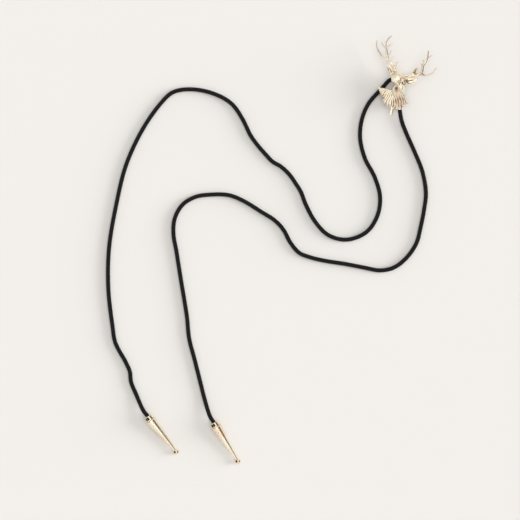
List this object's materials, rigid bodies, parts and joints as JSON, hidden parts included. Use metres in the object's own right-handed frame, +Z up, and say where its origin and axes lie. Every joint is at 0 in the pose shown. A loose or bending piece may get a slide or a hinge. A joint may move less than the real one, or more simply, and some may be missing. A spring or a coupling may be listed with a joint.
{
  "type": "bolo tie",
  "caption": "Bolo tie laid flat: a cast stag's bust slide with a lever clasp on a round braided cord that ends in two metal cone tips.",
  "frame": {"origin": "middle of the flat lower edge of the clasp's heel, on the table", "axes": "+Y from the chest of the bust towards the antlers, +Z up from the table towards the viewer, +X to the viewer's right"},
  "size_m": [0.2313, 0.2997, 0.0171],
  "materials": {
    "cast_metal": "polished pale gold plating over cast relief, darker in the hollows",
    "stamped_metal": "pale gold plating, lightly brushed",
    "tip_metal": "polished pale gold plating with small engraved dots",
    "braided_cord": "tight round braid, near black, slightly waxy"
  },
  "bodies": {
    "slide": {"stag_bust": "cast_metal", "clasp_base": "stamped_metal", "cord_left": "braided_cord", "cord_loop": "braided_cord", "cord_right": "braided_cord", "tip_left": "tip_metal", "tip_right": "tip_metal"},
    "lever": {"clasp_lever": "stamped_metal"}
  },
  "joints": [
    {"name": "lever_hinge", "type": "hinge", "parent": "slide", "child": "lever", "pos_m": [0, -0.0022, 0.00155], "axis": [1, 0, 0], "range_deg": [0, 75]}
  ]
}
